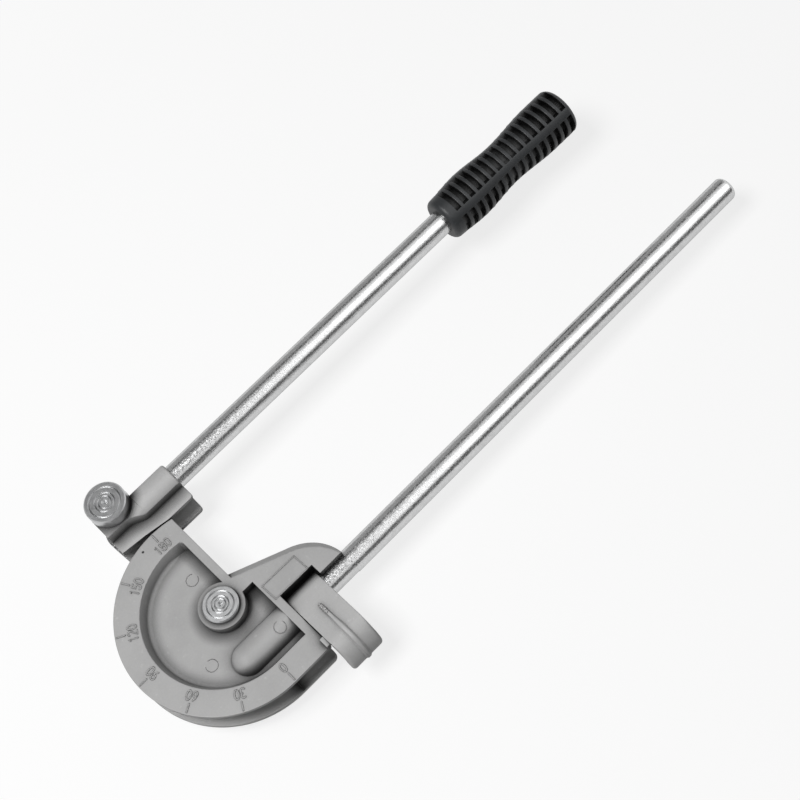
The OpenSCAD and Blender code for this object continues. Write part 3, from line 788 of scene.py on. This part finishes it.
def grip_stations(first, last):
    """Distances along the grip at which its body has a ring, closer at its ends and at the slots' ends."""
    stations = [COLLAR_ROUND * (1 - math.cos(math.radians(a))) for a in range(0, 90, 10)]
    stations += [GRIP_L - END_ROUND * (1 - math.sin(math.radians(a))) for a in range(10, 91, 10)]
    stations += [COLLAR_ROUND + i for i in range(int(GRIP_L - END_ROUND - COLLAR_ROUND) + 1)]
    stations += [first + d for d in NEAR_WALL] + [last - d for d in NEAR_WALL]
    return sorted(set(round(x, 4) for x in stations))


def grip_columns():
    """Angles round the grip at which its body has a row, closer at the rails' walls."""
    half = RAIL_W / 2
    gap = math.pi / 2 - RAIL_W / WIDTH_R
    over_rail = [-half - d for d in NEAR_WALL[::-1]] + [-half / 3, half / 3] + [half + d for d in NEAR_WALL]
    columns = []
    for rail in range(RAILS):
        middle = math.radians(45 + 90 * rail)
        columns += [middle + d / WIDTH_R for d in over_rail]
        columns += [middle + half / WIDTH_R + gap * i / GAP_STEPS for i in range(1, GAP_STEPS)]
    return columns


def grip_body():
    """Core, collar, tail and rails in one mesh, with a blind bore at the collar."""
    first = COLLAR_L + (PITCH - SLOT_W) / 2
    last = GRIP_L - TAIL_L - (PITCH - SLOT_W) / 2
    stations, columns = grip_stations(first, last), grip_columns()
    verts = []
    for x in stations:
        by_end = max(shoulder(first - x), shoulder(x - last))
        for turn in columns:
            off_rail = turn % (math.pi / 2) - math.pi / 4
            by_rail = shoulder(RAIL_W / 2 - abs(off_rail) * WIDTH_R)
            r = CORE_R + (skin(x) - CORE_R) * max(by_end, by_rail)
            verts.append((x, r * math.cos(turn), r * math.sin(turn)))
    count = len(columns)
    faces = band_faces(count, len(stations))
    mouth = len(verts)
    for x in (0.0, MOUTH_L):
        verts += [(x, BORE_R * math.cos(turn), BORE_R * math.sin(turn)) for turn in columns]
    for i in range(count):
        j = (i + 1) % count
        faces.append((i, mouth + i, mouth + j, j))
        faces.append((mouth + i, mouth + count + i, mouth + count + j, mouth + j))
    end = (len(stations) - 1) * count
    faces.append(tuple(end + i for i in range(count)))
    faces.append(tuple(mouth + count + i for i in range(count)))
    return faced_outwards(mesh_of("grip_body", verts, (), faces, RUBBER), sharp=50, weld=WELD)


def rib_tree():
    """Four ribs round each point of the base, scaled to the skin's radius there."""
    tree, given = growing_tree("grip_ribs", [
        ("Rib Radius", "NodeSocketFloat"), ("Rib Depth", "NodeSocketFloat"), ("Rib Width", "NodeSocketFloat"),
        ("Rib Edge", "NodeSocketFloat"), ("Sweep", "NodeSocketFloat"), ("Finish", "NodeSocketMaterial"),
    ])
    middle = given["Rib Radius"] - given["Rib Depth"] / 2
    line = tree.add("GeometryNodeCurveArc", {"mode": "RADIUS"}, {
        "Resolution": 14, "Radius": middle, "Start Angle": given["Sweep"] / -2, "Sweep Angle": given["Sweep"],
    })
    line = tree.add("GeometryNodeSetCurveNormal", {"mode": "Z_UP"}, {"Curve": line})
    side = tree.add("GeometryNodeCurvePrimitiveQuadrilateral", {"mode": "RECTANGLE"}, {
        "Width": given["Rib Depth"], "Height": given["Rib Width"],
    })
    side = tree.add("GeometryNodeFilletCurve", {"mode": "POLY"}, {
        "Curve": side, "Radius": given["Rib Edge"], "Count": 3, "Limit Radius": True,
    })
    rib = tree.add("GeometryNodeCurveToMesh", {}, {"Curve": line, "Profile Curve": side, "Fill Caps": True})
    four = tree.add("GeometryNodeMeshLine", {"mode": "OFFSET"}, {"Count": RAILS, "Offset": (0, 0, 0)})
    quarter = tree.add("GeometryNodeInputIndex") * (math.pi / 2)
    turned_to = tree.add("ShaderNodeCombineXYZ", {}, {"Z": quarter})
    ring = tree.add("GeometryNodeInstanceOnPoints", {}, {
        "Points": four, "Instance": rib, "Rotation": turned_to,
    })
    ring = tree.add("GeometryNodeRealizeInstances", {}, {"Geometry": ring})
    radius = tree.add("GeometryNodeInputNamedAttribute", {"data_type": "FLOAT"}, {"Name": "skin"})
    share = radius / given["Rib Radius"]
    size = tree.add("ShaderNodeCombineXYZ", {}, {"X": share, "Y": share, "Z": 1.0})
    ribs = tree.add("GeometryNodeInstanceOnPoints", {}, {
        "Points": given["Geometry"], "Instance": ring, "Scale": size,
    })
    ribs = tree.add("GeometryNodeRealizeInstances", {}, {"Geometry": ribs})
    ribs = tree.add("GeometryNodeSetShadeSmooth", {}, {"Geometry": ribs})
    ribs = tree.add("GeometryNodeSetMaterial", {}, {"Geometry": ribs, "Material": given["Finish"]})
    tree.add("NodeGroupOutput", {}, {"Geometry": ribs})
    return tree.tree


def grip_ribs():
    """The ribs, grown along Z and then turned to lie along X."""
    places = [COLLAR_L + PITCH * i for i in range(1, SLOTS)]
    base = mesh_of("grip_ribs", [(0, 0, x) for x in places])
    radii = base.attributes.new("skin", "FLOAT", "POINT")
    radii.data.foreach_set("value", [skin(x) - RIB_UNDER for x in places])
    mesh = grown("grip_ribs", base, rib_tree(), {
        "Rib Radius": BELLY_R, "Rib Depth": BELLY_R - CORE_R + RIB_ROOT, "Rib Width": PITCH - SLOT_W,
        "Rib Edge": RIB_EDGE, "Sweep": math.pi / 2 - (RAIL_W - RIB_LAP) / WIDTH_R, "Finish": RUBBER,
    })
    mesh.set_sharp_from_angle(angle=math.radians(60))
    mesh.transform(Matrix(((0, 0, 1, 0), (1, 0, 0, 0), (0, 1, 0, 0), (0, 0, 0, 1))))
    return mesh


to_rod = Matrix.Translation((GRIP_LOW.x, GRIP_Y, GRIP_Z)) @ Matrix.Diagonal((MM, MM, MM, 1))
body, ribs = grip_body(), grip_ribs()
for mesh in (body, ribs):
    mesh.transform(to_rod)
piece("grip_body", body, "lever", "grip_rubber", "grip")
piece("grip_ribs", ribs, "lever", "grip_rubber")


# Floor, cards that only the metal reflects, light, and the camera at the photograph's angle
FLOOR_HALF, FLOOR_Z = 4, -0.0002
# Where the floor starts to fade to white, and over what distance
FADE_CENTRE, FADE_FROM, FADE_OVER = (0.15, 0.0), 0.35, 0.9
ROOM_LEVEL = 0.15
SOFTBOX_SIDE, SOFTBOX_WATTS, SOFTBOX_PLACE = 0.62, 20.7, (-0.5, 0.1, 1.45)
SENSOR_W, LENS = 36, 72
CAMERA_PLACE = Matrix((
    (0.703102, 0.68699, -0.183555, -0.01354),
    (-0.686567, 0.588643, -0.426762, -0.34448),
    (-0.185133, 0.42608, 0.88554, 0.77276),
    (0, 0, 0, 1),
))


def stage_sheet(name, finish, across, near, far, reflected_only):
    """A sheet across X between two edges, each given as Y and Z."""
    left, right = across
    corners = [(left, *near), (right, *near), (right, *far), (left, *far)]
    sheet = bpy.data.objects.new(name, mesh_of(name, corners, (), [(0, 1, 2, 3)], finish))
    bpy.context.scene.collection.objects.link(sheet)
    if reflected_only:
        sheet.visible_camera = False
        sheet.visible_diffuse = False
        sheet.visible_shadow = False


def seen(tree):
    """1 for rays that show the background, straight or in metal, and 0 for rays that light the object."""
    straight = tree.add("ShaderNodeLightPath", out="Is Camera Ray")
    mirrored = tree.add("ShaderNodeLightPath", out="Is Glossy Ray")
    through = tree.add("ShaderNodeLightPath", out="Is Transmission Ray")
    return straight.larger(mirrored).larger(through)


def pale_floor():
    """A floor that shows white and keeps the shadow."""
    f = Finish("pale_floor")
    shown = seen(f)
    matt = f.add("ShaderNodeBsdfDiffuse", {}, {"Color": f.mixed(shown, grey(0.5), grey(0.92))})
    white = f.add("ShaderNodeEmission", {}, {"Strength": 1.0})
    far = ((f.radius_from(FADE_CENTRE) - FADE_FROM) / FADE_OVER).held()
    both = f.add("ShaderNodeMixShader", {}, {0: shown * (0.8 + 0.2 * far), 1: matt, 2: white})
    f.add("ShaderNodeOutputMaterial", {}, {"Surface": both})
    return f.material


def card(name, level, brightens=None):
    """A card of one level, or one that brightens along X from a start to an end."""
    f = Finish(name)
    colour = grey(1.0)
    if brightens:
        start, end = brightens
        share = ((f.coordinate("X") - start) / (end - start)).held()
        colour = f.mixed(share, grey(0.1), grey(1.0))
    glow = f.add("ShaderNodeEmission", {}, {"Color": colour, "Strength": level})
    f.add("ShaderNodeOutputMaterial", {}, {"Surface": glow})
    return f.material


floor_across = (-FLOOR_HALF, FLOOR_HALF)
stage_sheet("floor", pale_floor(), floor_across, (-FLOOR_HALF, FLOOR_Z), (FLOOR_HALF, FLOOR_Z), False)
DARK, MID = card("dark_card", 0.16), card("grey_card", 0.42)
BRIGHT = card("bright_card", 2.1, brightens=(0.17, 0.36))
for name, finish, across, near, far in (
    ("front_card", DARK, (-3, 3), (-1.6, 0.05), (-1.6, 1.1)),
    ("rear_card", DARK, (-3, 3), (0.7, 1.5), (1.65, 1.45)),
    ("rear_low_card", MID, (-3, 3), (1.7, 0.05), (1.7, 1.45)),
    ("shade_card", DARK, (-3, 0.3), (0.2, 1.5), (0.6, 1.5)),
    ("bright_card", BRIGHT, (-0.1, 2.4), (-1.4, 1.5), (0, 1.5)),
):
    stage_sheet(name, finish, across, near, far, True)

scene = bpy.context.scene
scene.world = bpy.data.worlds.new("studio")
scene.world.use_nodes = True
scene.world.node_tree.nodes.clear()
sky = Tree(scene.world.node_tree)
room = sky.add("ShaderNodeBackground", {}, {"Color": grey(1.0), "Strength": ROOM_LEVEL})
backdrop = sky.add("ShaderNodeBackground", {}, {"Color": grey(1.0), "Strength": 1.0})
both = sky.add("ShaderNodeMixShader", {}, {0: seen(sky), 1: room, 2: backdrop})
sky.add("ShaderNodeOutputWorld", {}, {"Surface": both})

softbox = bpy.data.lights.new("softbox", "AREA")
softbox.shape = "RECTANGLE"
softbox.size, softbox.size_y, softbox.energy = SOFTBOX_SIDE, SOFTBOX_SIDE, SOFTBOX_WATTS
lamp = bpy.data.objects.new("softbox", softbox)
lamp.location = SOFTBOX_PLACE
scene.collection.objects.link(lamp)

camera = bpy.data.cameras.new("photo_camera")
camera.sensor_width, camera.lens = SENSOR_W, LENS
viewer = bpy.data.objects.new("photo_camera", camera)
viewer.matrix_world = CAMERA_PLACE
scene.collection.objects.link(viewer)
scene.camera = viewer
scene.view_settings.view_transform = "Standard"
